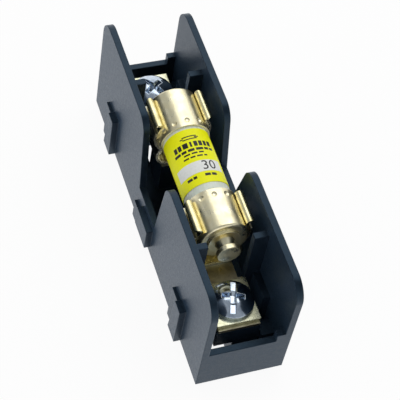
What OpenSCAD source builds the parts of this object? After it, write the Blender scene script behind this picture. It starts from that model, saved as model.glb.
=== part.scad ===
// One-pole modular fuse block with a rejection-type cartridge fuse in its clips.
// Frame: millimetres, +Z up, +Y along the fuse, origin at the middle of the underside.

/* [Housing] */
// Width across the two side walls
body_w = 18.1; // [17.6:0.1:24]
// Length over the two end walls
body_l = 73.4; // [71:0.1:95]
// Height of the side walls
wall_h = 27.1; // [25.5:0.1:36]
// Side wall thickness
wall_t = 1.4; // [1.0:0.1:1.7]
// End wall thickness
end_t = 1.4; // [1.0:0.1:2.4]
// End wall height
end_h = 10.5; // [6:0.1:16]
// Width of the raised shoulder at one side of each end wall
shoulder_w = 1.7; // [0.8:0.1:2.4]
// Rise of that shoulder above the end wall
shoulder_h = 2.0; // [0.5:0.1:4]
// Floor thickness
floor_t = 2.0; // [1.4:0.1:2.4]
// Radius of the outer top corners of the side walls
end_r = 4.2; // [1:0.1:6]
// Radius of the top corners at the valley
valley_r = 3.6; // [1:0.1:5]
// Height of the valley floor in the left wall
valley_z_left = 9.1; // [6:0.1:14]
// Height of the valley floor in the right wall
valley_z_right = 12.8; // [6:0.1:16]
// Half length of the left valley floor
valley_half_left = 5.2; // [3:0.1:7]
// Half length of the right valley floor
valley_half_right = 3.7; // [2:0.1:6]
// Slant of the left valley's sides, degrees
valley_slant_left = 8.0; // [2:0.5:12]
// Slant of the right valley's sides, degrees
valley_slant_right = 14.0; // [2:0.5:16]

/* [Barriers and seats] */
// Distance of each cross barrier from the middle
barrier_y = 20.0; // [19.2:0.1:21]
// Barrier thickness
barrier_t = 1.4; // [0.8:0.1:1.6]
// Barrier height
barrier_h = 24.0; // [14:0.1:25]
// Gap between the two barriers of a pair
barrier_gap = 9.4; // [8.8:0.1:11]
// Half width of the clip seat
seat_half_w = 3.2; // [2.8:0.1:3.6]
// Pedestal width
pedestal_w = 9.2; // [8.8:0.1:10.4]
// Pedestal length
pedestal_l = 10.2; // [9.2:0.1:10.6]

/* [Panel mounting] */
// Radius of the mounting hole
mount_r = 2.2; // [1.6:0.05:2.6]
// Length of the mounting hole's wall
mount_len = 3.2; // [2.4:0.1:4]
// Radius of the counterbore for the screw head
mount_head_r = 4.2; // [3.4:0.1:4.6]
// Height of the boss round the hole
boss_h = 5.0; // [4.4:0.1:6]
// Radius of the boss
boss_r = 5.6; // [5:0.1:6]

/* [Snap tabs] */
// How far the tabs stand out of the left wall
tab_t = 1.4; // [0.6:0.1:2]
// How far the low part of a tab stands out
tab_low_t = 0.7; // [0.3:0.1:1]
// Height of the end tabs
tab_h = 10.8; // [6:0.1:12]
// Clearance of a tab in its pocket
tab_clear = 0.3; // [0.1:0.05:0.5]

/* [Terminal] */
// Distance of the terminal screws from the middle
screw_y = 26.9; // [26.4:0.1:28]
// Strip thickness
strip_t = 0.8; // [0.5:0.05:1.2]
// Height of the strip's top face
strip_top = 10.78; // [9.5:0.02:12]
// Strip width at the terminal
strip_w = 8.6; // [7:0.1:9]
// Strip width at the clip
strip_neck_w = 6.6; // [5:0.1:7]
// Pressure plate width
plate_w = 9.0; // [7:0.1:10]
// Pressure plate length
plate_l = 9.6; // [8:0.1:10]
// Pressure plate thickness
plate_t = 1.0; // [0.6:0.05:1.4]
// Screw shank radius
screw_r = 2.05; // [1.6:0.05:2.2]
// Screw shank length
screw_len = 8.6; // [7:0.1:9.4]
// Screw head radius
head_r = 4.3; // [3.6:0.05:4.6]
// Screw head height
head_h = 2.5; // [2:0.1:3]
// Height of the straight edge of the head
head_edge_h = 0.9; // [0.5:0.1:1.2]
// Slot width
slot_w = 1.15; // [0.8:0.05:1.4]
// Slot depth
slot_d = 1.1; // [0.6:0.1:1.3]
// Turn of the near screw's slot, degrees
near_turn = -18.6; // [-180:0.1:180]
// Turn of the far screw's slot, degrees
far_turn = 34; // [-180:0.1:180]
// Nut width across flats
nut_w = 7.0; // [6:0.1:7.4]
// Nut thickness
nut_t = 3.1; // [2.4:0.1:3.4]

/* [Clips] */
// Distance of the near clip's middle from the middle of the block
near_clip_y = 13.7; // [13.2:0.1:14.2]
// Distance of the far clip's middle from the middle of the block
far_clip_y = 12.3; // [11.8:0.1:12.8]
// Clip length along the fuse
clip_len = 7.4; // [6:0.1:8]
// Clip sheet thickness
clip_t = 0.45; // [0.3:0.05:0.5]
// Spring sheet thickness
spring_t = 0.4; // [0.25:0.05:0.4]
// Radius of the rolled lips
lip_r = 0.9; // [0.7:0.05:1.1]
// Angle at which the lips begin, degrees above the fuse axis
lip_angle = 30; // [24:1:36]
// Angle at which the waist begins, degrees below the fuse axis
waist_angle = 42; // [38:1:46]
// Outside radius of the waist bend
waist_r = 0.7; // [0.6:0.05:0.9]
// Angle of the waist bend's end, degrees
waist_end = 215; // [208:1:220]
// Rounding of the lips' corners
lip_corner_r = 1.0; // [0.4:0.1:1.4]
// Rivet shank radius
rivet_r = 1.2; // [0.9:0.05:1.3]
// Rivet head radius
rivet_head_r = 1.65; // [1.5:0.05:1.7]

/* [Fuse] */
// Height of the fuse axis
fuse_z = 20.28; // [19.6:0.02:21]
// Outside radius of the ferrules (13/32 inch caps)
ferrule_r = 5.16; // [5.1:0.01:5.2]
// Overall length of the fuse (1-1/2 inch)
fuse_len = 38.1; // [37.6:0.1:38.6]
// Position of the far ferrule's end from the middle of the block
fuse_far_y = 16.65; // [16.2:0.05:17]
// Near ferrule length
near_ferrule_len = 9.0; // [8:0.1:10]
// Far ferrule length
far_ferrule_len = 9.9; // [8:0.1:10.5]
// Ferrule sheet thickness
ferrule_t = 0.44; // [0.3:0.02:0.5]
// Tube wall thickness
tube_wall = 1.4; // [1:0.05:1.6]
// Label thickness
label_t = 0.1; // [0.05:0.01:0.12]
// Label length
label_len = 13.4; // [8:0.1:14]
// Gap from the near ferrule's open edge to the label
label_gap = 1.9; // [0.5:0.1:2.2]
// Shoulder radius on the near ferrule
shoulder_r = 3.4; // [3:0.1:4]
// Rejection tip length beyond the ferrule
tip_len = 3.25; // [2.8:0.05:3.6]
// Button radius of the rejection tip
button_r = 2.35; // [2:0.05:2.6]
// Button thickness
button_t = 1.0; // [0.6:0.1:1.2]

/* [Clearances] */
// Gap between pieces that lie on each other
rest_gap = 0.02; // [0.01:0.01:0.03]
// Gap of the nut in its pocket, each side
nut_clear = 0.1; // [0.05:0.05:0.2]
// Gap of a shank in its hole
hole_clear = 0.25; // [0.1:0.05:0.3]
// Gap inside the fuse
inner_gap = 0.03; // [0.02:0.01:0.05]

/* [Hidden] */
$fn = 64;

black = [0.10, 0.11, 0.13];
brass = [0.84, 0.79, 0.52];
steel = [0.75, 0.78, 0.80];
cream = [0.90, 0.85, 0.68];
half_w = body_w / 2;
half_l = body_l / 2;
inner_x = half_w - wall_t;
strip_bottom = strip_top - strip_t;
clip_z = strip_top + spring_t + rest_gap + clip_t / 2;
clip_r = ferrule_r + 0.03;
clip_top = clip_z + clip_t / 2;
plate_z = strip_top + rest_gap;
head_z = plate_z + plate_t + rest_gap;
nut_z = strip_bottom - 0.08 - nut_t;
pedestal_y = screw_y + 0.2;
fuse_near_y = fuse_far_y - fuse_len + tip_len;
near_open_y = fuse_near_y + near_ferrule_len;
far_open_y = fuse_far_y - far_ferrule_len;
tube_r = ferrule_r - ferrule_t - inner_gap;
tube_ri = tube_r - tube_wall;
cap_t = 0.5;
tube_y0 = fuse_near_y + cap_t + inner_gap;
tube_y1 = fuse_far_y - cap_t - inner_gap;
label_y0 = near_open_y + label_gap;
seat_y0 = near_clip_y + clip_len / 2;
tab_step = 48;
tab_y = -25;

// ---- general shapes ----
module ycyl(y0, len, r, x = 0, z = fuse_z) {
    translate([x, y0 + len, z])
        rotate([90, 0, 0])
            cylinder(r = r, h = len);
}

module box(x0, x1, y0, y1, z0, z1) {
    translate([x0, y0, z0])
        cube([x1 - x0, y1 - y0, z1 - z0]);
}

// outline of one side wall, lying in the YZ plane and raised along X
module wall_plate(x0, t, vz, vh, slant) {
    s = sin(slant);
    c = cos(slant);
    cz = wall_h - valley_r;
    py = vh + (cz + valley_r * s - vz) * tan(slant);
    cy = py + valley_r * c;
    translate([x0, 0, 0])
        rotate([90, 0, 90])
            linear_extrude(t)
                union() {
                    polygon([[-half_l, 0], [-half_l, wall_h - end_r], [-half_l + end_r, wall_h],
                        [-cy, wall_h], [-py, cz + valley_r * s], [-vh, vz],
                        [vh, vz], [py, cz + valley_r * s], [cy, wall_h],
                        [half_l - end_r, wall_h], [half_l, wall_h - end_r], [half_l, 0]]);
                    for (k = [-1, 1]) {
                        translate([k * cy, cz])
                            circle(valley_r);
                        translate([k * (half_l - end_r), wall_h - end_r])
                            circle(end_r);
                    }
                }
}

module end_wall(s) {
    ya = s < 0 ? -half_l : half_l - end_t;
    box(-half_w, half_w, ya, ya + end_t, 0, end_h);
    box(inner_x - shoulder_w, half_w, ya, ya + end_t, 0, end_h + shoulder_h);
}

module snap_tabs() {
    for (k = [0, 1]) {
        translate([0, tab_y + k * tab_step, 0]) {
            translate([-half_w - tab_t, 0, 0])
                rotate([90, 0, 90])
                    linear_extrude(tab_t + 0.1)
                        polygon([[-1.5, 0], [-1.5, tab_h], [1.4, tab_h], [2.5, 0]]);
            box(-half_w - tab_low_t, -half_w + 0.1, 1.4, 5.1, 0, tab_h - 1);
        }
    }
    box(-half_w - tab_t, -half_w + 0.1, -5.0, 1.6, 2.2, 7.6);
    box(-half_w - tab_low_t, -half_w + 0.1, -1.0, 5.2, 0, 5.0);
}

module pocket_pads() {
    for (k = [0, 1])
        box(half_w - wall_t - tab_t, inner_x + 0.1, tab_y + k * tab_step - 1.5 - 1.2,
            tab_y + k * tab_step + 5.1 + 1.2, 0, tab_h + 1.2);
    box(half_w - wall_t - tab_t, inner_x + 0.1, -6.2, 6.4, 0, 8.8);
}

module pockets() {
    for (k = [0, 1])
        box(half_w - tab_t + 0.2, half_w + 1, tab_y + k * tab_step - 1.5 - tab_clear,
            tab_y + k * tab_step + 5.1 + tab_clear, -1, tab_h + tab_clear);
    box(half_w - tab_t + 0.2, half_w + 1, -5.0 - tab_clear, 5.2 + tab_clear, -1, 7.6 + tab_clear);
}

// barriers, pedestal, seat and ledge of one end; s is -1 near, 1 far
module end_works(s, clip_y) {
    mirror([0, s > 0 ? 1 : 0, 0]) {
            for (k = [-1, 1])
                box(k < 0 ? -inner_x - 0.1 : barrier_gap / 2, k < 0 ? -barrier_gap / 2 : inner_x + 0.1,
                    -barrier_y - barrier_t, -barrier_y, 0, barrier_h);
            box(-pedestal_w / 2, pedestal_w / 2, -pedestal_y - pedestal_l / 2,
                -pedestal_y + pedestal_l / 2, 0, strip_bottom);
            box(-seat_half_w, seat_half_w, -clip_y - 3.2, -clip_y + 3.6, 0, strip_bottom);
            box(5.0, inner_x + 0.1, -32.9, -29.4, 0, 6.8);
        }
}

module end_cuts(s, clip_y) {
    mirror([0, s > 0 ? 1 : 0, 0]) {
        // nut pocket and screw hole
        box(-nut_w / 2 - nut_clear, nut_w / 2 + nut_clear, -screw_y - nut_w / 2 - nut_clear,
            -screw_y + nut_w / 2 + nut_clear, nut_z - 0.1, strip_bottom + 1);
        translate([0, -screw_y, 1])
            cylinder(r = screw_r + hole_clear, h = strip_bottom);
        // rivet hole, with room below for its tail
        translate([0, -clip_y, -1])
            cylinder(r = rivet_r + 0.05, h = strip_bottom + 2);
        translate([0, -clip_y, -1])
            cylinder(r = rivet_head_r + 0.5, h = 6.8);
        // relief under the outer corner of the pedestal and light slot in the floor
        box(-pedestal_w / 2 - 0.5, -0.8, -33.6, -27.6, -1, 5.4);
        box(-2.9, -0.4, -22.0 + (s > 0 ? 0 : 0.2), -clip_y - 4.0, -1, floor_t + 1);
    }
}

module housing() {
    color(black)
        difference() {
            union() {
                box(-half_w, half_w, -half_l, half_l, 0, floor_t);
                wall_plate(-half_w, wall_t, valley_z_left, valley_half_left, valley_slant_left);
                wall_plate(inner_x, wall_t, valley_z_right, valley_half_right, valley_slant_right);
                end_wall(-1);
                end_wall(1);
                snap_tabs();
                pocket_pads();
                end_works(-1, near_clip_y);
                end_works(1, far_clip_y);
                cylinder(r = boss_r, h = boss_h);
            }
            pockets();
            end_cuts(-1, near_clip_y);
            end_cuts(1, far_clip_y);
            translate([0, 0, -1])
                cylinder(r = mount_r, h = boss_h + 2);
            translate([0, 0, mount_len])
                cylinder(r = mount_head_r, h = boss_h);
        }
}

// ---- conductors ----
module strip(clip_y) {
    color(brass)
        difference() {
            union() {
                box(-strip_w / 2, strip_w / 2, -pedestal_y - pedestal_l / 2, -barrier_y - 1.2,
                    strip_bottom, strip_top);
                box(-strip_neck_w / 2, strip_neck_w / 2, -barrier_y - 1.3, -clip_y + 3.6,
                    strip_bottom, strip_top);
            }
            translate([0, -screw_y, 0])
                cylinder(r = screw_r + hole_clear, h = 30);
            translate([0, -clip_y, 0])
                cylinder(r = rivet_r + 0.05, h = 30);
        }
}

function waist_c(r) = [(r + waist_r) * cos(waist_angle), fuse_z - (r + waist_r) * sin(waist_angle)];

// points along an arc, without its first point when k is 1
function arc(c, r, a0, a1, n, k = 1) =
    [for (i = [k:n]) [c[0] + r * cos(a0 + (a1 - a0) * i / n), c[1] + r * sin(a0 + (a1 - a0) * i / n)]];

function flip(v) = [for (i = [len(v) - 1:-1:0]) v[i]];

function left(v) = [for (p = v) [-p[0], p[1]]];

// right half of a line that runs inside the sheets, off outside the clip's ferrule side
function sheet_side(off, top, rolled) =
    let (wc = waist_c(clip_r + clip_t))
    let (n = [cos(waist_end), sin(waist_end)])
    let (pz = wc[1] + (waist_r + clip_t / 2) * n[1])
    let (rf = (pz - clip_z) / (1 - n[1]))
    let (fc = wc + (waist_r + clip_t / 2 + rf) * n)
    let (lc = [(clip_r + lip_r) * cos(top), fuse_z + (clip_r + lip_r) * sin(top)])
    concat(
        rolled ? arc(lc, lip_r - off, 16, 180 + top, 20, 0)
            : arc([0, fuse_z], clip_r + off, top, top - 0.1, 1, 0),
        arc([0, fuse_z], clip_r + off, top, -waist_angle, 18),
        arc(wc, waist_r + clip_t - off, 180 - waist_angle, waist_end, 8),
        arc(fc, rf - clip_t / 2 + off, waist_end - 180, -90, 24));

module bent_sheet(off, t, top, rolled) {
    a = sheet_side(off, top, rolled);
    b = sheet_side(off + t, top, rolled);
    translate([0, clip_len / 2, 0])
        rotate([90, 0, 0])
            linear_extrude(clip_len)
                polygon(concat(a, left(flip(a)), left(b), flip(b)));
}

module lip_corners() {
    x = (clip_r + lip_r) * cos(lip_angle) + lip_r - lip_corner_r;
    for (k = [0, 1], j = [0, 1])
        mirror([j, 0, 0])
            mirror([0, k, 0])
                translate([x, clip_len / 2 - lip_corner_r, fuse_z + 2])
                    difference() {
                        cube([lip_corner_r + 1, lip_corner_r + 1, 4]);
                        cylinder(r = lip_corner_r, h = 9, center = true);
                    }
}

module clip(y) {
    color(brass)
        translate([0, y, 0])
            difference() {
                bent_sheet(0, clip_t, lip_angle, true);
                lip_corners();
                translate([0, 0, clip_z - 1])
                    cylinder(r = rivet_r + 0.05, h = 2);
            }
}

module clip_spring(y) {
    color(brass * 0.9)
        translate([0, y, 0])
            difference() {
                bent_sheet(clip_t + rest_gap, spring_t, 14, false);
                translate([0, 0, strip_top - 1])
                    cylinder(r = rivet_r + 0.05, h = 2);
            }
}

module rivet(y) {
    color(steel)
        translate([0, y, 0]) {
            translate([0, 0, 5.3])
                cylinder(r = rivet_r, h = clip_top + 0.4 - 5.3);
            translate([0, 0, clip_top + rest_gap])
                cylinder(r = rivet_head_r, h = 0.45);
            translate([0, 0, 5.2])
                cylinder(r = rivet_head_r + 0.2, h = 0.58);
        }
}

module nut(y) {
    color(steel)
        difference() {
            box(-nut_w / 2, nut_w / 2, y - nut_w / 2, y + nut_w / 2, nut_z, nut_z + nut_t);
            translate([0, y, nut_z - 1])
                cylinder(r = screw_r + 0.04, h = nut_t + 2);
        }
}

module pressure_plate(y) {
    color([0.86, 0.86, 0.62])
        difference() {
            box(-plate_w / 2, plate_w / 2, y - plate_l / 2, y + plate_l / 2, plate_z,
                plate_z + plate_t);
            translate([0, y, 0])
                cylinder(r = screw_r + 0.12, h = 30);
        }
}

module screw(y, turn) {
    dome = head_h - head_edge_h;
    dome_r = (head_r * head_r + dome * dome) / (2 * dome);
    color(steel)
        translate([0, y, head_z])
            rotate([0, 0, turn])
                difference() {
                    union() {
                        intersection() {
                            cylinder(r = head_r, h = head_h);
                            translate([0, 0, head_h - dome_r])
                                sphere(r = dome_r);
                        }
                        translate([0, 0, -screw_len])
                            cylinder(r = screw_r, h = screw_len + 0.1);
                    }
                    box(-slot_w / 2, slot_w / 2, -head_r - 1, head_r + 1, head_h - slot_d, head_h + 1);
                    intersection() {
                        union() {
                            box(-2.6, 2.6, -0.55, 0.55, head_h - 1.8, head_h + 1);
                            box(-0.55, 0.55, -2.6, 2.6, head_h - 1.8, head_h + 1);
                        }
                        translate([0, 0, head_h - 1.8])
                            cylinder(r1 = 0.9, r2 = 2.9, h = 2.0);
                    }
                }
}

// ---- fuse ----
module cup_profile(len, step_r, step_h, hole_r) {
    difference() {
        union() {
            square([ferrule_r - 0.5, len]);
            square([ferrule_r, len - 0.5]);
            translate([ferrule_r - 0.5, len - 0.5])
                circle(0.5);
            square([step_r, len + step_h]);
        }
        translate([-1, -1])
            square([tube_r + inner_gap + 1, len - cap_t + 1]);
        translate([-1, -1])
            square([hole_r + 1, len + 5]);
        translate([-ferrule_r, -1])
            square([ferrule_r, len + 5]);
    }
}

module dents(z) {
    for (k = [0:11])
        rotate([0, 0, k * 30 + 2])
            translate([ferrule_r + 0.6, 0, z])
                sphere(r = 0.85, $fn = 32);
}

module near_ferrule() {
    color(cream)
        translate([0, near_open_y, fuse_z])
            rotate([90, 0, 0])
                difference() {
                    rotate_extrude()
                        cup_profile(near_ferrule_len, shoulder_r, 0.45, 0.92);
                    dents(1.35);
                }
}

module far_ferrule() {
    color(cream)
        translate([0, far_open_y, fuse_z])
            rotate([-90, 0, 0])
                difference() {
                    rotate_extrude()
                        cup_profile(far_ferrule_len, 1, 0, 0);
                    dents(1.35);
                }
}

module rejection_tip() {
    neck = tip_len - 0.45 - button_t;
    color(cream)
        translate([0, fuse_near_y, fuse_z])
            rotate([90, 0, 0]) {
                translate([0, 0, 0.45 + 0.01])
                    cylinder(r1 = 2.0, r2 = 1.3, h = neck);
                translate([0, 0, 0.45 + neck])
                    cylinder(r = button_r, h = button_t);
                translate([0, 0, -cap_t])
                    cylinder(r = 0.9, h = 1.6);
            }
}

module fuse_tube() {
    color([0.86, 0.88, 0.80])
        difference() {
            ycyl(tube_y0, tube_y1 - tube_y0, tube_r);
            ycyl(tube_y0 - 1, tube_y1 - tube_y0 + 2, tube_ri);
        }
}

module fuse_label() {
    color([0.96, 0.98, 0.05])
        difference() {
            ycyl(label_y0, label_len, tube_r + 0.01 + label_t);
            ycyl(label_y0 - 1, label_len + 2, tube_r + 0.01);
        }
}

module disc(y0, t, hole) {
    color([0.8, 0.75, 0.6])
        difference() {
            ycyl(y0, t, tube_ri - inner_gap);
            ycyl(y0 - 1, t + 2, hole);
        }
}

link_y1 = 1.6;
module link_shape(g) {
    box(-1.5 - g, 1.5 + g, tube_y0 - g, link_y1 + g, fuse_z - 0.12 - g, fuse_z + 0.12 + g);
}

module short_link() {
    color([0.80, 0.50, 0.32])
        difference() {
            link_shape(0);
            for (k = [0:5])
                for (s = [-1, 1])
                    translate([s * 1.7, tube_y0 + 2.4 + k * 2.6, fuse_z - 1])
                        cylinder(r = 0.75, h = 2);
        }
}

module near_disc() {
    color([0.8, 0.75, 0.6])
        difference() {
            ycyl(tube_y0 + 0.1, 0.8, tube_ri - inner_gap);
            link_shape(0.05);
        }
}

module sand_filler() {
    color([0.86, 0.83, 0.76])
        difference() {
            ycyl(tube_y0 + 0.95, link_y1 - tube_y0 - 1.0, tube_ri - inner_gap);
            link_shape(0.05);
        }
}

module barrier_disc() {
    disc(link_y1 + 0.02, 0.8, 1.3);
}

module solder_joint() {
    color([0.72, 0.74, 0.76])
        ycyl(link_y1, 0.9, 1.25);
}

module plunger() {
    color([0.82, 0.70, 0.40])
        union() {
            ycyl(link_y1 + 0.92, 0.8, 2.6);
            ycyl(link_y1 + 1.6, tube_y1 - link_y1 - 1.6, 0.9);
        }
}

coil_turns = 6;
coil_y0 = link_y1 + 2.1;
coil_y1 = fuse_far_y - 5.0;
module trigger_spring() {
    color(steel)
        for (k = [0:coil_turns - 1])
            translate([0, coil_y0 + (k + 0.5) * (coil_y1 - coil_y0) / coil_turns, fuse_z])
                rotate([90, 0, 0])
                    rotate_extrude()
                        translate([1.9, 0])
                            circle(d = (coil_y1 - coil_y0) / coil_turns + 0.02, $fn = 24);
}

module far_disc() {
    disc(coil_y1 + 0.02, 0.8, 1.0);
}

housing();
strip(near_clip_y);  // near_strip
mirror([0, 1, 0]) strip(far_clip_y);  // far_strip
clip(-near_clip_y);  // near_clip
clip(far_clip_y);  // far_clip
clip_spring(-near_clip_y);  // near_clip_spring
clip_spring(far_clip_y);  // far_clip_spring
rivet(-near_clip_y);  // near_rivet
rivet(far_clip_y);  // far_rivet
nut(-screw_y);  // near_nut
nut(screw_y);  // far_nut
pressure_plate(-screw_y);  // near_plate
pressure_plate(screw_y);  // far_plate
screw(-screw_y, near_turn);  // near_screw
screw(screw_y, far_turn);  // far_screw
fuse_tube();
fuse_label();
near_ferrule();
far_ferrule();
rejection_tip();
short_link();
near_disc();
barrier_disc();
far_disc();
solder_joint();
plunger();
trigger_spring();
sand_filler();
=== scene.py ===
"""Looks of a one-pole fuse block and its rejection-type fuse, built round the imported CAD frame.

All sizes are in metres, in the frame's own axes: +Y runs along the fuse, +X to the right and +Z up.
"""

import logging
import math
from dataclasses import dataclass, field
from enum import Enum
from typing import Any

import bmesh
import bpy
from mathutils import Matrix, Vector


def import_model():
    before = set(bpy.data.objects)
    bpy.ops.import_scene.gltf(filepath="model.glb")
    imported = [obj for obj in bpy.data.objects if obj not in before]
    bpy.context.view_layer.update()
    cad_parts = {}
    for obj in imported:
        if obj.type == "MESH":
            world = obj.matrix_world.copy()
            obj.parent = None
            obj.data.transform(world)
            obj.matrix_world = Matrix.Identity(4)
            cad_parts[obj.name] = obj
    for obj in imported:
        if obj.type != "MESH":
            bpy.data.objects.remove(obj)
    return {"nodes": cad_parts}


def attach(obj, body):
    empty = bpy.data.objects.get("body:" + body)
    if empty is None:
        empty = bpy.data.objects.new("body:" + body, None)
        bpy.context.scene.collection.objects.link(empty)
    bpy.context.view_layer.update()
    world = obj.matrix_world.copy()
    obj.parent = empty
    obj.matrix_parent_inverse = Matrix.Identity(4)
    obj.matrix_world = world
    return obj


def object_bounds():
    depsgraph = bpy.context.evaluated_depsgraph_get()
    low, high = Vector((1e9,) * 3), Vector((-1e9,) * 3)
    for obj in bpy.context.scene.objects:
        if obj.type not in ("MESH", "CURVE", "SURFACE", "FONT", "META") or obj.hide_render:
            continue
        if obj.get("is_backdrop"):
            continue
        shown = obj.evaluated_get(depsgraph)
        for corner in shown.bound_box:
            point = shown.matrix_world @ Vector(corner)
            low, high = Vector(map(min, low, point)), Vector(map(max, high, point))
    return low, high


MM = 0.001
ROUNDING_SAMPLES = 6
FLOOR_GAP = 0.05 * MM
INK_SEGMENT_DEG = 3.0
DIGIT_CUT = 0.35 * MM
DIGIT_CUTS = 8
MERGE = 1e-7
Colour = tuple[float, float, float]
Plan = dict["Finish", tuple[str, ...]]
log = logging.getLogger("fuse_block")


class Body(Enum):
    """The bodies of the frame that new pieces ride on."""

    FUSE = "fuse"


class Finish(Enum):
    """Every finish on the object, by its slot in the record."""

    HOUSING = "black_plastic"
    CLIP = "clip_brass"
    STRIP = "strip_brass"
    SPRING = "spring_steel"
    RIVET = "rivet_metal"
    PLATE = "plate_zinc"
    SCREW = "screw_zinc"
    NUT = "nut_steel"
    TUBE = "tube_fibre"
    LABEL = "label_paper"
    CAP = "cap_metal"
    LINK = "link_copper"
    DISC = "disc_fibre"
    SOLDER = "solder"
    PLUNGER = "plunger_brass"
    COIL = "coil_steel"
    SAND = "sand"


class Graph:
    """A material's node tree, with short calls for the nodes that the finishes share."""

    def __init__(self, name: str) -> None:
        """Starts an empty material.

        Args:
            name: The material's name.
        """
        self.material = bpy.data.materials.new(name)
        self.material.use_nodes = True
        self.tree = self.material.node_tree
        self.tree.nodes.clear()
        self.surface = self.tree.nodes.new("ShaderNodeBsdfPrincipled")
        output = self.tree.nodes.new("ShaderNodeOutputMaterial")
        self.tree.links.new(self.surface.outputs["BSDF"], output.inputs["Surface"])
        self.coords = self.add("ShaderNodeTexCoord").outputs["Object"]

    def add(
        self, kind: str, links: dict[Any, Any] | None = None, **settings: Any
    ) -> bpy.types.Node:
        """Adds a node.

        Args:
            kind: The node's type name.
            links: Values or sockets by input name or number.
            settings: Attributes of the node.

        Returns:
            The new node.
        """
        node = self.tree.nodes.new(kind)
        for key, value in settings.items():
            setattr(node, key, value)
        for key, value in (links or {}).items():
            self.feed(node.inputs[key], value)
        return node

    def feed(self, socket: bpy.types.NodeSocket, value: Any) -> None:
        """Links a socket, or sets its value.

        Args:
            socket: The input to feed.
            value: Another node's output, a number or a colour.
        """
        if isinstance(value, bpy.types.NodeSocket):
            self.tree.links.new(value, socket)
        elif isinstance(value, tuple) and socket.type == "RGBA":
            socket.default_value = (*value, 1.0)
        else:
            socket.default_value = value

    def set(self, **values: Any) -> None:
        """Feeds inputs of the surface shader; an underscore in a name stands for a space."""
        for key, value in values.items():
            self.feed(self.surface.inputs[key.replace("_", " ")], value)

    def noise(
        self, scale: float, detail: float = 3.0, stretch: Colour = (1, 1, 1), rough: float = 0.55
    ) -> bpy.types.NodeSocket:
        """Returns a noise pattern on Object coordinates.

        Args:
            scale: How fine it is, per metre.
            detail: How many octaves it has.
            stretch: Its scale along each axis; a small number draws it out.
            rough: How strong its finer octaves are.

        Returns:
            The pattern's value.
        """
        place = self.add("ShaderNodeMapping", {"Vector": self.coords, "Scale": stretch})
        return self.add(
            "ShaderNodeTexNoise",
            {"Vector": place.outputs[0], "Scale": scale, "Detail": detail, "Roughness": rough},
        ).outputs["Fac"]

    def math(self, operation: str, *values: Any) -> bpy.types.NodeSocket:
        """Returns the result of a math node on up to three values."""
        return self.add("ShaderNodeMath", dict(enumerate(values)), operation=operation).outputs[0]

    def span(
        self, value: Any, low: float, high: float, to_low: float = 0.0, to_high: float = 1.0
    ) -> bpy.types.NodeSocket:
        """Carries a value from one range to another, and clamps it.

        Args:
            value: The value's socket.
            low: Where the first range starts.
            high: Where the first range ends.
            to_low: Where the second range starts.
            to_high: Where the second range ends.

        Returns:
            The carried value.
        """
        return self.add(
            "ShaderNodeMapRange",
            {
                "Value": value,
                "From Min": low,
                "From Max": high,
                "To Min": to_low,
                "To Max": to_high,
            },
        ).outputs[0]

    def mix(self, share: Any, first: Any, second: Any) -> bpy.types.NodeSocket:
        """Returns two colours mixed by a share."""
        node = self.add("ShaderNodeMix", data_type="RGBA")
        for number, value in ((0, share), (6, first), (7, second)):
            self.feed(node.inputs[number], value)
        return node.outputs[2]

    def edges(
        self, radius: float, low: float = 0.02, high: float = 0.25
    ) -> tuple[bpy.types.NodeSocket, bpy.types.NodeSocket]:
        """Finds the sharp edges of a piece.

        Args:
            radius: How far an edge's rounding reaches, in metres.
            low: The bend at which the mask starts.
            high: The bend at which the mask is full.

        Returns:
            The rounded normal, and a mask that is 1 on edges.
        """
        bevel = self.add("ShaderNodeBevel", {"Radius": radius}, samples=ROUNDING_SAMPLES)
        round_normal = bevel.outputs[0]
        flat = self.add("ShaderNodeNewGeometry").outputs["Normal"]
        dot = self.add("ShaderNodeVectorMath", {0: round_normal, 1: flat}, operation="DOT_PRODUCT")
        bend = self.math("SUBTRACT", 1.0, dot.outputs["Value"])
        return round_normal, self.span(bend, low, high)

    def bump(
        self, height: Any, depth: float, normal: bpy.types.NodeSocket, strength: float
    ) -> bpy.types.NodeSocket:
        """Lays a fine relief over a normal.

        Args:
            height: The relief's height, from 0 to 1.
            depth: Its depth in metres.
            normal: The normal under it.
            strength: The share of it that shows.

        Returns:
            The new normal.
        """
        return self.add(
            "ShaderNodeBump",
            {"Height": height, "Distance": depth, "Strength": strength, "Normal": normal},
        ).outputs[0]


@dataclass(frozen=True)
class MouldedPlastic:
    """Black moulded plastic with a fine matte grain, slightly paler edges and a blue haze."""

    deep: Colour = (0.0022, 0.0036, 0.0060)
    pale: Colour = (0.0070, 0.0125, 0.0210)
    rubbed: Colour = (0.016, 0.022, 0.032)
    sheen: Colour = (0.42, 0.70, 1.0)
    haze: Colour = (0.33, 0.60, 1.00)
    rounding: float = 0.28 * MM

    def make(self, name: str) -> bpy.types.Material:
        """Returns the material."""
        graph = Graph(name)
        normal, edge = graph.edges(self.rounding)
        cloud, grain = graph.noise(1100, 4, rough=0.65), graph.noise(2900, 3)
        speck = graph.noise(7000, 2)
        tone = graph.mix(graph.span(cloud, 0.35, 0.7), self.deep, self.pale)
        worn = graph.math("MULTIPLY", edge, graph.span(grain, 0.4, 0.7, 0.15, 0.6))
        height = graph.math("MULTIPLY_ADD", speck, 0.4, grain)
        uneven = graph.math("MULTIPLY_ADD", cloud, 0.5, graph.math("MULTIPLY", grain, 0.5))
        graph.set(
            Base_Color=graph.mix(worn, tone, self.rubbed),
            Roughness=graph.span(uneven, 0.35, 0.65, 0.29, 0.44),
            IOR=1.50,
            Specular_Tint=self.sheen,
            Sheen_Weight=0.16,
            Sheen_Roughness=0.45,
            Sheen_Tint=self.haze,
            Normal=graph.bump(height, 0.040 * MM, normal, 0.7),
        )
        return graph.material


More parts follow.
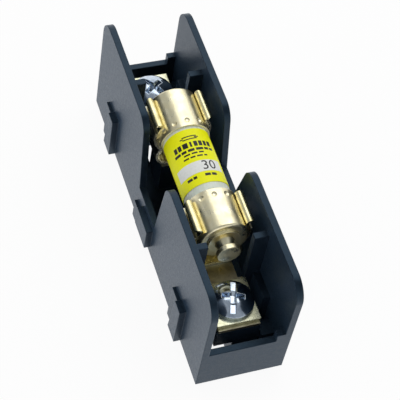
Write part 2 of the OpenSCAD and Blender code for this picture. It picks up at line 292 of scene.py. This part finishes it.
@dataclass(frozen=True)
class SheetMetal:
    """Rolled or plated metal with draw lines, blotchy tarnish and bright rubbed edges."""

    bright: Colour
    dull: Colour
    roughness: float = 0.22
    lines: Colour = (1.0, 0.12, 1.0)
    rounding: float = 0.12 * MM
    blotch: float = 420.0
    tarnish: float = 0.6

    def make(self, name: str) -> bpy.types.Material:
        """Returns the material."""
        graph = Graph(name)
        normal, edge = graph.edges(self.rounding)
        draw = graph.noise(5200, 3, self.lines)
        cloud = graph.noise(self.blotch, 5, rough=0.62)
        pits = graph.noise(3300, 3)
        dark = graph.math("MULTIPLY", graph.span(cloud, 0.42, 0.68), self.tarnish)
        kept = graph.math("SUBTRACT", 1.0, graph.math("MULTIPLY", edge, 0.7))
        dark = graph.math("MULTIPLY", dark, kept)
        height = graph.math("MULTIPLY_ADD", pits, 0.5, draw)
        smooth = graph.span(cloud, 0.3, 0.7, self.roughness * 0.8, self.roughness * 1.5)
        graph.set(
            Base_Color=graph.mix(dark, self.bright, self.dull),
            Metallic=1.0,
            Roughness=graph.math("ADD", smooth, graph.span(draw, 0.4, 0.7, 0.0, 0.06)),
            Normal=graph.bump(height, 0.010 * MM, normal, 0.5),
        )
        return graph.material


@dataclass(frozen=True)
class PressedFibre:
    """Pressed fibre or paper: matte, mottled, with short fibres along the piece."""

    pale: Colour
    dark: Colour
    roughness: float = 0.55
    grain: float = 2400.0
    depth: float = 0.02 * MM
    subsurface: float = 0.0

    def make(self, name: str) -> bpy.types.Material:
        """Returns the material."""
        graph = Graph(name)
        normal, _ = graph.edges(0.1 * MM)
        fibres = graph.noise(self.grain, 4, (1.0, 0.25, 1.0))
        cloud = graph.noise(self.grain / 6, 4)
        mottle = graph.math("MULTIPLY_ADD", fibres, 0.6, graph.math("MULTIPLY", cloud, 0.4))
        graph.set(
            Base_Color=graph.mix(graph.span(mottle, 0.35, 0.7), self.pale, self.dark),
            Roughness=graph.span(fibres, 0.3, 0.7, self.roughness - 0.08, self.roughness + 0.1),
            Subsurface_Weight=self.subsurface,
            Normal=graph.bump(fibres, self.depth, normal, 0.6),
        )
        return graph.material


@dataclass(frozen=True)
class PrintedLabel:
    """Glossy coloured paper with a slight ink mottle and a clear film."""

    ink: Colour
    shade: Colour
    roughness: float = 0.4
    film: float = 0.06

    def make(self, name: str) -> bpy.types.Material:
        """Returns the material."""
        graph = Graph(name)
        normal, _ = graph.edges(0.04 * MM)
        mottle, fibres = graph.noise(1900, 4), graph.noise(5200, 3, (1.0, 0.4, 1.0))
        graph.set(
            Base_Color=graph.mix(
                graph.span(mottle, 0.4, 0.75, 0.0, 0.6), self.ink, self.shade
            ),
            Roughness=graph.span(
                fibres, 0.3, 0.7, self.roughness - 0.05, self.roughness + 0.08
            ),
            Specular_IOR_Level=0.25,
            Coat_Weight=self.film,
            Coat_Roughness=0.12,
            Normal=graph.bump(fibres, 0.006 * MM, normal, 0.5),
        )
        return graph.material


@dataclass(frozen=True)
class Granules:
    """Loose quartz sand: pale crystals, with painted shade darkening the gaps between them."""

    pale: Colour = (0.62, 0.56, 0.44)
    # dark is the painted shade in the gaps between grains, and also the colour of the random dusty
    # patches
    dark: Colour = (0.24, 0.20, 0.14)

    def make(self, name: str) -> bpy.types.Material:
        """Returns the material."""
        graph = Graph(name)
        normal, _ = graph.edges(0.1 * MM)
        cells = graph.add("ShaderNodeTexVoronoi", {"Vector": graph.coords, "Scale": 3400.0})
        gap = cells.outputs["Distance"]
        # painted shade: each grain is palest at its middle and darkens towards the gaps between
        # grains
        tone = graph.mix(graph.span(gap, 0.1, 0.7), self.pale, self.dark)
        dusty = graph.span(graph.noise(900, 2), 0.4, 0.6, 0.0, 0.4)
        graph.set(
            Base_Color=graph.mix(dusty, tone, self.dark),
            Roughness=graph.span(gap, 0.0, 0.6, 0.35, 0.8),
            Normal=graph.bump(graph.math("SUBTRACT", 1.0, gap), 0.08 * MM, normal, 0.8),
        )
        return graph.material


@dataclass
class Finishes:
    """Makes each finish once and gives it to nodes and new pieces."""

    made: dict[str, bpy.types.Material] = field(default_factory=dict)

    def recipe(self, finish: Finish) -> Any:
        """Returns the finish's recipe."""
        recipes = {
            Finish.HOUSING: MouldedPlastic(),
            Finish.CLIP: SheetMetal((0.90, 0.83, 0.50), (0.60, 0.49, 0.20), 0.21),
            Finish.STRIP: SheetMetal((0.62, 0.58, 0.42), (0.28, 0.25, 0.15), 0.30),
            Finish.SPRING: SheetMetal((0.66, 0.64, 0.52), (0.30, 0.28, 0.20), 0.26),
            Finish.RIVET: SheetMetal((0.62, 0.60, 0.55), (0.30, 0.28, 0.24), 0.3),
            Finish.PLATE: SheetMetal(
                (0.82, 0.82, 0.60), (0.48, 0.46, 0.26), 0.24, (1.0, 1.0, 1.0), 0.22 * MM, 700.0
            ),
            Finish.SCREW: SheetMetal(
                (0.68, 0.77, 0.88), (0.26, 0.34, 0.46), 0.10, (0.5, 0.5, 0.5), 0.22 * MM, 600.0, 0.5
            ),
            Finish.NUT: SheetMetal((0.58, 0.58, 0.56), (0.26, 0.26, 0.25), 0.32, (0.7, 0.7, 0.7)),
            Finish.TUBE: PressedFibre((0.86, 0.89, 0.78), (0.70, 0.73, 0.60), 0.42, subsurface=0.1),
            Finish.LABEL: PrintedLabel((0.96, 0.97, 0.001), (0.90, 0.88, 0.002), 0.5, 0.04),
            Finish.CAP: SheetMetal(
                (0.98, 0.91, 0.64), (0.86, 0.74, 0.42), 0.27, (1.0, 0.1, 1.0), 0.14 * MM, 520.0, 0.5
            ),
            Finish.LINK: SheetMetal((0.85, 0.48, 0.30), (0.45, 0.20, 0.10), 0.3),
            Finish.DISC: PressedFibre((0.45, 0.36, 0.24), (0.30, 0.22, 0.13)),
            Finish.SOLDER: SheetMetal(
                (0.66, 0.67, 0.68), (0.38, 0.39, 0.40), 0.35, (1.0, 1.0, 1.0)
            ),
            Finish.PLUNGER: SheetMetal((0.78, 0.62, 0.30), (0.42, 0.30, 0.10), 0.28),
            Finish.COIL: SheetMetal((0.60, 0.60, 0.60), (0.32, 0.32, 0.33), 0.24, (1.0, 1.0, 1.0)),
            Finish.SAND: Granules(),
        }
        return recipes[finish]

    def get(self, finish: Finish) -> bpy.types.Material:
        """Returns a finish's material, made on first use."""
        return self.named(finish.value, self.recipe(finish))

    def named(self, name: str, recipe: Any) -> bpy.types.Material:
        """Returns the material of a recipe under its own name, made on first use."""
        if name not in self.made:
            self.made[name] = recipe.make(name)
        return self.made[name]

    def dress(self, nodes: dict[str, bpy.types.Object], plan: Plan) -> None:
        """Puts finishes on CAD nodes, on every material slot.

        Args:
            nodes: The frame's node objects, by name.
            plan: The names of the nodes that wear each finish.
        """
        for finish, names in plan.items():
            for name in names:
                node = nodes[name]
                if not node.material_slots:
                    node.data.materials.append(self.get(finish))
                for slot in node.material_slots:
                    slot.material = self.get(finish)
                log.info("%s wears %s", name, finish.value)


def new_piece(
    name: str,
    mesh: bmesh.types.BMesh,
    body: Body,
    material: bpy.types.Material,
) -> None:
    """Turns a bmesh into a piece that rides on a body.

    Args:
        name: The piece's name.
        mesh: The finished bmesh, in metres, which is freed here.
        body: The body it rides on.
        material: The material on it.
    """
    data = bpy.data.meshes.new(name)
    mesh.to_mesh(data)
    mesh.free()
    piece = bpy.data.objects.new(name, data)
    bpy.context.scene.collection.objects.link(piece)
    data.materials.append(material)
    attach(piece, body.value)
    log.info("%s: %d faces on %s", name, len(data.polygons), body.value)


@dataclass
class Block:
    """The base: housing, strips, clips, springs, rivets and nuts, carried over from the frame."""

    finishes: Finishes
    nodes: dict[str, bpy.types.Object]

    def build(self) -> None:
        """Dresses the base's nodes."""
        plan = {
            Finish.HOUSING: ("housing",),
            Finish.STRIP: ("near_strip", "far_strip"),
            Finish.CLIP: ("near_clip", "far_clip"),
            Finish.SPRING: ("near_clip_spring", "far_clip_spring"),
            Finish.RIVET: ("near_rivet", "far_rivet"),
            Finish.NUT: ("near_nut", "far_nut"),
        }
        self.finishes.dress(self.nodes, plan)


@dataclass
class Clamps:
    """Both wire clamps: pressure plates and slotted screws."""

    finishes: Finishes
    nodes: dict[str, bpy.types.Object]

    def build(self) -> None:
        """Dresses the plates and the screws."""
        plan = {
            Finish.PLATE: ("near_plate", "far_plate"),
            Finish.SCREW: ("near_screw", "far_screw"),
        }
        self.finishes.dress(self.nodes, plan)


@dataclass
class FuseBody:
    """The fuse: tube, printed label, caps, tip and the working parts inside."""

    finishes: Finishes
    nodes: dict[str, bpy.types.Object]
    axis_z: float = 20.28 * MM
    label_r: float = 4.80 * MM
    lift: float = 0.012 * MM
    band_y: float = -3.25 * MM
    band_half: float = 1.35 * MM
    band_turn: tuple[float, float] = (-72.0, 50.0)

    def build(self) -> None:
        """Dresses the fuse's nodes and prints its label."""
        plan = {
            Finish.TUBE: ("fuse_tube",),
            Finish.LABEL: ("fuse_label",),
            Finish.CAP: ("near_ferrule", "far_ferrule", "rejection_tip"),
            Finish.LINK: ("short_link",),
            Finish.DISC: ("near_disc", "barrier_disc", "far_disc"),
            Finish.SOLDER: ("solder_joint",),
            Finish.PLUNGER: ("plunger",),
            Finish.COIL: ("trigger_spring",),
            Finish.SAND: ("sand_filler",),
        }
        self.finishes.dress(self.nodes, plan)
        self.print_band()
        self.print_rows()
        self.print_rating()

    def wrap(self, mesh: bmesh.types.BMesh, layer: int) -> None:
        """Rolls a flat print, drawn with x round the tube and y along it, onto the label.

        Args:
            mesh: The flat print, in metres.
            layer: How many ink layers lie under it.
        """
        radius = self.label_r + layer * self.lift
        for vert in mesh.verts:
            turn, height = vert.co.x / self.label_r, radius + vert.co.z
            along, up = vert.co.y, self.axis_z + height * math.cos(turn)
            vert.co = Vector((height * math.sin(turn), along, up))

    def patch(
        self, mesh: bmesh.types.BMesh, y: float, half_y: float, turn: tuple[float, float]
    ) -> None:
        """Adds a flat rectangle of ink.

        Args:
            mesh: The print it joins.
            y: Its middle along the tube, in metres.
            half_y: Half its width along the tube.
            turn: Where it starts and ends round the tube, in degrees from the top.
        """
        low, high = (math.radians(a) * self.label_r for a in turn)
        steps = max(2, int((turn[1] - turn[0]) / INK_SEGMENT_DEG))
        size = Matrix.Diagonal(((high - low) / 2, half_y, 1, 1))
        place = Matrix.Translation(((low + high) / 2, y, 0)) @ size
        bmesh.ops.create_grid(mesh, x_segments=steps, y_segments=2, size=1.0, matrix=place)

    def ink(self, name: str, mesh: bmesh.types.BMesh, layer: int, recipe: PrintedLabel) -> None:
        """Gives a flat print its thickness, rolls it on and hands it over.

        Args:
            name: The piece's name.
            mesh: The flat print.
            layer: How many ink layers lie under it.
            recipe: The ink.
        """
        top = bmesh.ops.extrude_face_region(mesh, geom=mesh.faces[:])
        lifted = [item for item in top["geom"] if isinstance(item, bmesh.types.BMVert)]
        bmesh.ops.translate(mesh, verts=lifted, vec=(0, 0, self.lift))
        self.wrap(mesh, layer)
        bmesh.ops.remove_doubles(mesh, verts=mesh.verts, dist=MERGE)
        bmesh.ops.recalc_face_normals(mesh, faces=mesh.faces)
        new_piece(name, mesh, Body.FUSE, self.finishes.named(name + "_ink", recipe))

    def print_band(self) -> None:
        """Prints the pale band for the rating."""
        mesh = bmesh.new()
        self.patch(mesh, self.band_y, self.band_half, self.band_turn)
        self.ink("label_band", mesh, 0, PrintedLabel((0.86, 0.87, 0.84), (0.74, 0.76, 0.72)))

    def print_rows(self) -> None:
        """Prints an arrow-like mark and the dark rows as plain bars, with no lettering."""
        rows = (
            (4.30, 0.12, ((-26, 10),)),
            (3.98, 0.12, ((-32, -24), (4, 14))),
            (3.66, 0.12, ((-26, 10),)),
            (2.30, 0.62, ((-56, -47), (-44, -35), (-31, -18), (-13, -8))),
            (2.30, 0.62, ((-3, 6), (9, 18), (21, 29), (32, 42))),
            (0.98, 0.30, ((-60, -42), (-39, -26), (-22, -6), (-2, 16), (19, 30), (33, 44))),
            (0.12, 0.18, ((-36, -20), (-16, -2), (2, 14))),
            (-0.72, 0.18, ((-40, -26), (-22, -10), (-6, 8), (12, 20))),
            (-5.45, 0.30, ((-50, -36), (-33, -24), (-4, 10), (13, 26))),
        )
        mesh = bmesh.new()
        for y, half, bars in rows:
            for bar in bars:
                self.patch(mesh, y * MM, half * MM, bar)
        black = PrintedLabel((0.012, 0.012, 0.010), (0.03, 0.03, 0.02), 0.4, 0.2)
        self.ink("label_rows", mesh, 0, black)

    def print_rating(self) -> None:
        """Prints a plain number on the band, and nothing beside it."""
        curve = bpy.data.curves.new("rating_outline", "FONT")
        curve.body, curve.size = "30", 3.1 * MM
        curve.align_x, curve.align_y, curve.resolution_u = "CENTER", "CENTER", 3
        holder = bpy.data.objects.new("rating_outline", curve)
        bpy.context.scene.collection.objects.link(holder)
        drawn = holder.evaluated_get(bpy.context.evaluated_depsgraph_get())
        flat = bpy.data.meshes.new_from_object(drawn)
        mesh = bmesh.new()
        mesh.from_mesh(flat)
        bpy.data.objects.remove(holder)
        bpy.data.curves.remove(curve)
        bpy.data.meshes.remove(flat)
        bmesh.ops.remove_doubles(mesh, verts=mesh.verts, dist=1e-6)
        bmesh.ops.translate(mesh, verts=mesh.verts, vec=(1.2 * MM, self.band_y, 0))
        for cut in range(-DIGIT_CUTS, DIGIT_CUTS + 1):
            bmesh.ops.bisect_plane(
                mesh,
                geom=mesh.verts[:] + mesh.edges[:] + mesh.faces[:],
                dist=1e-8,
                plane_co=(cut * DIGIT_CUT, 0, 0),
                plane_no=(1, 0, 0),
            )
        black = PrintedLabel((0.012, 0.012, 0.012), (0.03, 0.03, 0.03), 0.4, 0.2)
        self.ink("label_rating", mesh, 1, black)


@dataclass
class Studio:
    """Pale floor, white surround, soft lamps and the camera."""

    floor_z: float
    floor_size: float = 6.0
    sky: float = 0.58
    overhead: float = 0.34
    backdrop_low: float = 0.22
    backdrop_high: float = 0.60
    floor_white: float = 0.93
    lamp_power: float = 4.2
    camera_at: Colour = (-0.07686337650788643, -0.15228735641200655, 0.23834321762282246)
    right: Colour = (0.9446933195335825, -0.3029440644758537, 0.12561618457615506)
    down: Colour = (-0.17610131904982257, -0.7917077111761137, -0.5849677132057736)
    forward: Colour = (0.2766637986031665, 0.530493915010464, -0.8012698351238099)
    focal_mm: float = 125.0667

    def build(self) -> None:
        """Builds the surround, the lamps and the camera."""
        self.build_world()
        self.build_floor()
        self.build_lamp("softbox_top", (0.30, 0.52, 0.86), 1.0, self.lamp_power)
        self.build_lamp("softbox_left", (-1.10, 0.12, 0.26), 0.6, self.lamp_power * 0.08)
        self.build_camera()

    def seen(self, tree: bpy.types.NodeTree) -> bpy.types.NodeSocket:
        """Returns 1 for rays from the camera, a gloss or a clear surface."""
        path = tree.nodes.new("ShaderNodeLightPath")
        socket = path.outputs["Is Camera Ray"]
        for name in ("Is Glossy Ray", "Is Transmission Ray"):
            most = tree.nodes.new("ShaderNodeMath")
            most.operation = "MAXIMUM"
            tree.links.new(socket, most.inputs[0])
            tree.links.new(path.outputs[name], most.inputs[1])
            socket = most.outputs[0]
        return socket

    def build_world(self) -> None:
        """Lights the scene evenly and shows plain white behind it."""
        world = bpy.data.worlds.new("studio_world")
        bpy.context.scene.world = world
        world.use_nodes = True
        tree = world.node_tree
        tree.nodes.clear()
        light, shown, above = (tree.nodes.new("ShaderNodeBackground") for _ in range(3))
        for node, colour, strength in (
            (light, (0.97, 0.985, 1.0), self.sky),
            (shown, (1.0, 1.0, 1.0), 1.0),
            (above, (0.90, 0.95, 1.0), self.overhead),
        ):
            node.inputs["Color"].default_value = (*colour, 1.0)
            node.inputs["Strength"].default_value = strength
        direction = tree.nodes.new("ShaderNodeSeparateXYZ")
        around = tree.nodes.new("ShaderNodeTexCoord").outputs["Generated"]
        tree.links.new(around, direction.inputs[0])
        height = tree.nodes.new("ShaderNodeMapRange")
        height.inputs["From Min"].default_value = self.backdrop_low
        height.inputs["From Max"].default_value = self.backdrop_high
        tree.links.new(direction.outputs["Z"], height.inputs["Value"])
        backdrop, mix = (tree.nodes.new("ShaderNodeMixShader") for _ in range(2))
        output = tree.nodes.new("ShaderNodeOutputWorld")
        tree.links.new(height.outputs[0], backdrop.inputs[0])
        tree.links.new(shown.outputs[0], backdrop.inputs[1])
        tree.links.new(above.outputs[0], backdrop.inputs[2])
        camera_only = tree.nodes.new("ShaderNodeLightPath").outputs["Is Camera Ray"]
        plain = tree.nodes.new("ShaderNodeMixShader")
        tree.links.new(camera_only, plain.inputs[0])
        tree.links.new(backdrop.outputs[0], plain.inputs[1])
        tree.links.new(shown.outputs[0], plain.inputs[2])
        tree.links.new(self.seen(tree), mix.inputs[0])
        tree.links.new(light.outputs[0], mix.inputs[1])
        tree.links.new(plain.outputs[0], mix.inputs[2])
        tree.links.new(mix.outputs[0], output.inputs[0])

    def build_floor(self) -> None:
        """Lays a pale floor that keeps the object's shadow."""
        mesh = bmesh.new()
        place = Matrix.Translation((0, 0, self.floor_z - FLOOR_GAP))
        bmesh.ops.create_grid(
            mesh, x_segments=4, y_segments=4, size=self.floor_size / 2, matrix=place
        )
        data = bpy.data.meshes.new("studio_floor")
        mesh.to_mesh(data)
        mesh.free()
        floor = bpy.data.objects.new("studio_floor", data)
        bpy.context.scene.collection.objects.link(floor)
        material = bpy.data.materials.new("pale_floor")
        material.use_nodes = True
        tree = material.node_tree
        tree.nodes.clear()
        paint, shown = tree.nodes.new("ShaderNodeBsdfDiffuse"), tree.nodes.new("ShaderNodeEmission")
        paint.inputs["Color"].default_value = (0.95, 0.95, 0.95, 1.0)
        shown.inputs["Color"].default_value = (1.0, 1.0, 1.0, 1.0)
        share = tree.nodes.new("ShaderNodeMath")
        share.operation = "MULTIPLY"
        share.inputs[1].default_value = self.floor_white
        mix = tree.nodes.new("ShaderNodeMixShader")
        output = tree.nodes.new("ShaderNodeOutputMaterial")
        tree.links.new(self.seen(tree), share.inputs[0])
        tree.links.new(share.outputs[0], mix.inputs[0])
        tree.links.new(paint.outputs[0], mix.inputs[1])
        tree.links.new(shown.outputs[0], mix.inputs[2])
        tree.links.new(mix.outputs[0], output.inputs[0])
        data.materials.append(material)
        floor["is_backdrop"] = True

    def build_lamp(self, name: str, at: Colour, size: float, power: float) -> None:
        """Hangs a square softbox that faces the object.

        Args:
            name: The lamp's name.
            at: Where it hangs, in metres.
            size: Its side, in metres.
            power: Its power in watts.
        """
        data = bpy.data.lights.new(name, "AREA")
        data.shape, data.size, data.energy = "SQUARE", size, power
        lamp = bpy.data.objects.new(name, data)
        facing = (-Vector(at)).to_track_quat("-Z", "Y").to_matrix().to_4x4()
        lamp.matrix_world = Matrix.Translation(at) @ facing
        bpy.context.scene.collection.objects.link(lamp)

    def build_camera(self) -> None:
        """Sets the camera at the object's viewing angle."""
        data = bpy.data.cameras.new("camera")
        data.sensor_width, data.lens, data.clip_start = 36.0, self.focal_mm, 0.01
        camera = bpy.data.objects.new("camera", data)
        up, back = [-v for v in self.down], [-v for v in self.forward]
        turn = Matrix((self.right, up, back)).transposed()
        camera.matrix_world = Matrix.Translation(self.camera_at) @ turn.to_4x4()
        bpy.context.scene.collection.objects.link(camera)
        bpy.context.scene.camera = camera
        bpy.context.scene.view_settings.view_transform = "Standard"


def corners(box: Any) -> list[list[float]]:
    """Returns a box as plain lists of numbers."""
    return [[float(v) for v in corner] for corner in box]


def main() -> None:
    """Builds every sub-assembly in order."""
    logging.basicConfig(level=logging.INFO, format="%(name)s: %(message)s")
    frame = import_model()
    cad_box = corners(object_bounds())
    finishes = Finishes()
    Block(finishes, frame["nodes"]).build()
    Clamps(finishes, frame["nodes"]).build()
    FuseBody(finishes, frame["nodes"]).build()
    Studio(cad_box[0][2]).build()


if __name__ == "__main__":
    main()
